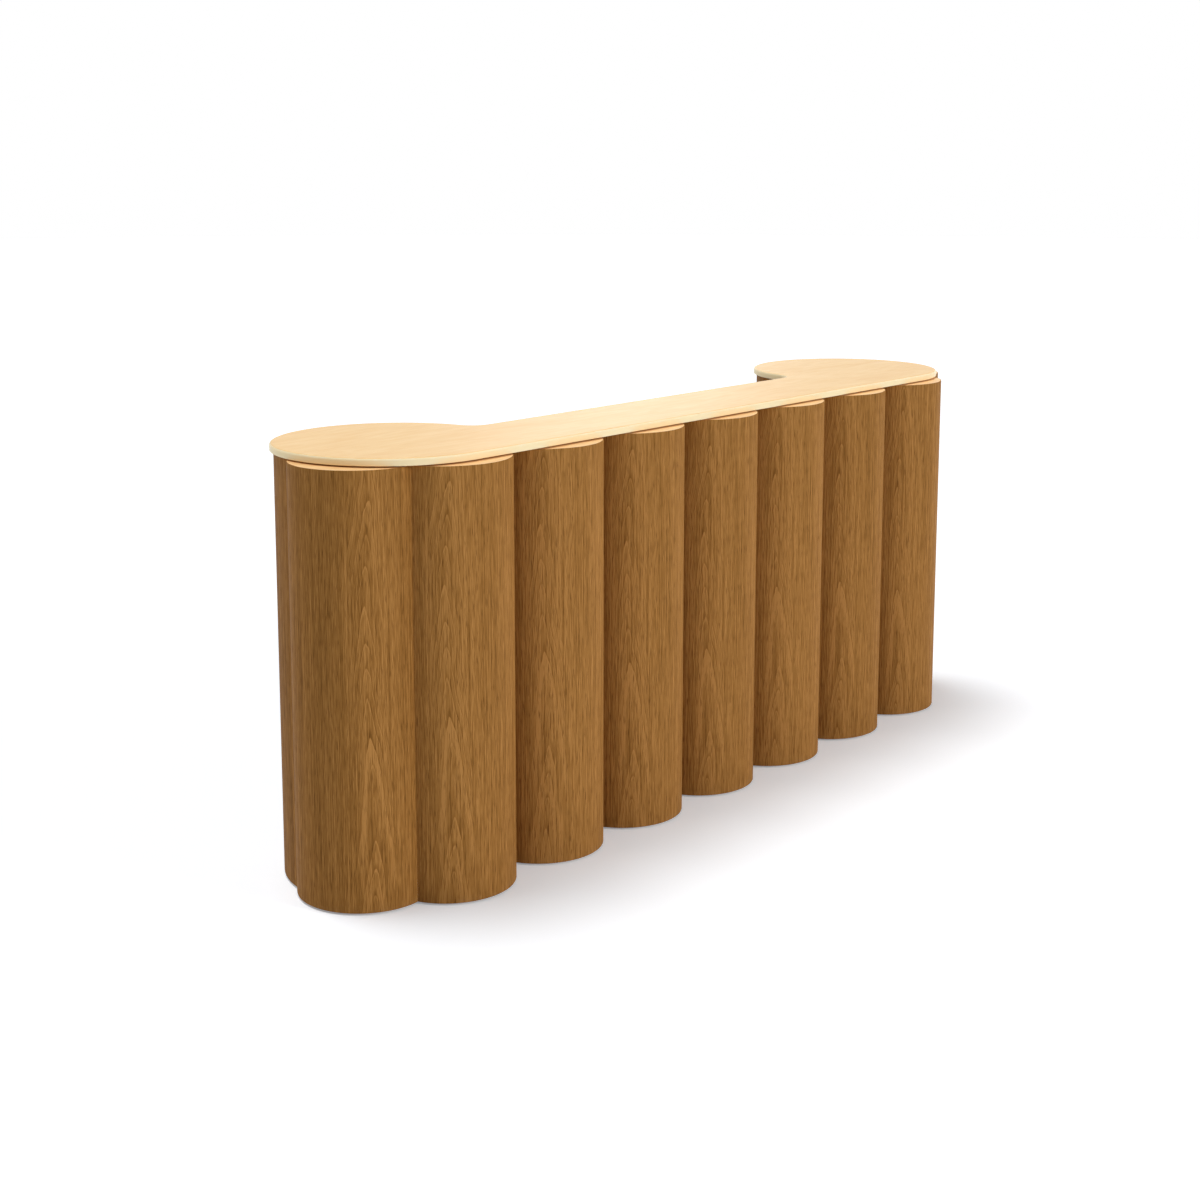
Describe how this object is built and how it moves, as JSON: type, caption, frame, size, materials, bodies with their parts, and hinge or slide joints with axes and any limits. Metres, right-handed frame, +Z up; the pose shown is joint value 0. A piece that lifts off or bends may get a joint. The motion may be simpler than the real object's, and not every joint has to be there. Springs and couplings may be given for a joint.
{
  "type": "counter height table",
  "caption": "Free-standing counter with a front of half-round veneered columns, two round ends and a thin dog-bone top held off the body by a shadow gap.",
  "frame": {"origin": "centre of the footprint on the floor", "axes": "+X along the length, -Y the side the columns face, +Y the staff side, +Z up"},
  "size_m": [2.2548, 0.5335, 0.915],
  "materials": {
    "oak_veneer": "satin",
    "maple_top": "satin",
    "maple_cap": "satin",
    "plywood": "matte",
    "zinc_steel": "satin",
    "black_plastic": "matte"
  },
  "bodies": {
    "carcass": {"counter_top": "maple_top", "column_screws": "zinc_steel", "top_spacers": "black_plastic", "top_screws": "zinc_steel", "foot_inserts": "zinc_steel", "column_shell_1": "oak_veneer", "column_shell_2": "oak_veneer", "column_shell_3": "oak_veneer", "column_shell_4": "oak_veneer", "column_shell_5": "oak_veneer", "column_shell_6": "oak_veneer", "column_shell_7": "oak_veneer", "column_shell_8": "oak_veneer", "column_shell_9": "oak_veneer", "left_end_skin": "oak_veneer", "right_end_skin": "oak_veneer", "left_neck_panel": "oak_veneer", "right_neck_panel": "oak_veneer", "rear_panel": "oak_veneer", "column_cap_1": "maple_cap", "column_cap_2": "maple_cap", "column_cap_3": "maple_cap", "column_cap_4": "maple_cap", "column_cap_5": "maple_cap", "column_cap_6": "maple_cap", "column_cap_7": "maple_cap", "column_cap_8": "maple_cap", "column_cap_9": "maple_cap", "column_base_1": "plywood", "column_base_2": "plywood", "column_base_3": "plywood", "column_base_4": "plywood", "column_base_5": "plywood", "column_base_6": "plywood", "column_base_7": "plywood", "column_base_8": "plywood", "column_base_9": "plywood", "sub_top_board": "plywood", "middle_board": "plywood", "base_board": "plywood", "front_backer": "plywood", "left_end_backer": "plywood", "right_end_backer": "plywood"},
    "foot_1_pad": {"foot_pad_1": "black_plastic"},
    "foot_1_stem": {"foot_stem_1": "zinc_steel"},
    "foot_2_pad": {"foot_pad_2": "black_plastic"},
    "foot_2_stem": {"foot_stem_2": "zinc_steel"},
    "foot_3_pad": {"foot_pad_3": "black_plastic"},
    "foot_3_stem": {"foot_stem_3": "zinc_steel"},
    "foot_4_pad": {"foot_pad_4": "black_plastic"},
    "foot_4_stem": {"foot_stem_4": "zinc_steel"},
    "foot_5_pad": {"foot_pad_5": "black_plastic"},
    "foot_5_stem": {"foot_stem_5": "zinc_steel"},
    "foot_6_pad": {"foot_pad_6": "black_plastic"},
    "foot_6_stem": {"foot_stem_6": "zinc_steel"}
  },
  "joints": [
    {"name": "foot_1_lift", "type": "slide", "parent": "carcass", "child": "foot_1_pad", "axis": [0, 0, 1], "range_m": [-0.012, 0]},
    {"name": "foot_1_turn", "type": "hinge", "parent": "foot_1_pad", "child": "foot_1_stem", "pos_m": [-0.84, -0.18715, 0.016], "axis": [0, 0, 1], "range_deg": [-2881, 0]},
    {"name": "foot_2_lift", "type": "slide", "parent": "carcass", "child": "foot_2_pad", "axis": [0, 0, 1], "range_m": [-0.012, 0]},
    {"name": "foot_2_turn", "type": "hinge", "parent": "foot_2_pad", "child": "foot_2_stem", "pos_m": [-0.953, 0.01885, 0.016], "axis": [0, 0, 1], "range_deg": [-2881, 0]},
    {"name": "foot_3_lift", "type": "slide", "parent": "carcass", "child": "foot_3_pad", "axis": [0, 0, 1], "range_m": [-0.012, 0]},
    {"name": "foot_3_turn", "type": "hinge", "parent": "foot_3_pad", "child": "foot_3_stem", "pos_m": [-0.848, 0.16885, 0.016], "axis": [0, 0, 1], "range_deg": [-2881, 0]},
    {"name": "foot_4_lift", "type": "slide", "parent": "carcass", "child": "foot_4_pad", "axis": [0, 0, 1], "range_m": [-0.012, 0]},
    {"name": "foot_4_turn", "type": "hinge", "parent": "foot_4_pad", "child": "foot_4_stem", "pos_m": [0.84, -0.18715, 0.016], "axis": [0, 0, 1], "range_deg": [-2881, 0]},
    {"name": "foot_5_lift", "type": "slide", "parent": "carcass", "child": "foot_5_pad", "axis": [0, 0, 1], "range_m": [-0.012, 0]},
    {"name": "foot_5_turn", "type": "hinge", "parent": "foot_5_pad", "child": "foot_5_stem", "pos_m": [0.953, 0.01885, 0.016], "axis": [0, 0, 1], "range_deg": [-2881, 0]},
    {"name": "foot_6_lift", "type": "slide", "parent": "carcass", "child": "foot_6_pad", "axis": [0, 0, 1], "range_m": [-0.012, 0]},
    {"name": "foot_6_turn", "type": "hinge", "parent": "foot_6_pad", "child": "foot_6_stem", "pos_m": [0.848, 0.16885, 0.016], "axis": [0, 0, 1], "range_deg": [-2881, 0]}
  ],
  "couplings": [
    {"joint": "foot_1_turn", "follows": "foot_1_lift", "rad_per_m": 4188.8},
    {"joint": "foot_2_turn", "follows": "foot_2_lift", "rad_per_m": 4188.8},
    {"joint": "foot_3_turn", "follows": "foot_3_lift", "rad_per_m": 4188.8},
    {"joint": "foot_4_turn", "follows": "foot_4_lift", "rad_per_m": 4188.8},
    {"joint": "foot_5_turn", "follows": "foot_5_lift", "rad_per_m": 4188.8},
    {"joint": "foot_6_turn", "follows": "foot_6_lift", "rad_per_m": 4188.8}
  ]
}
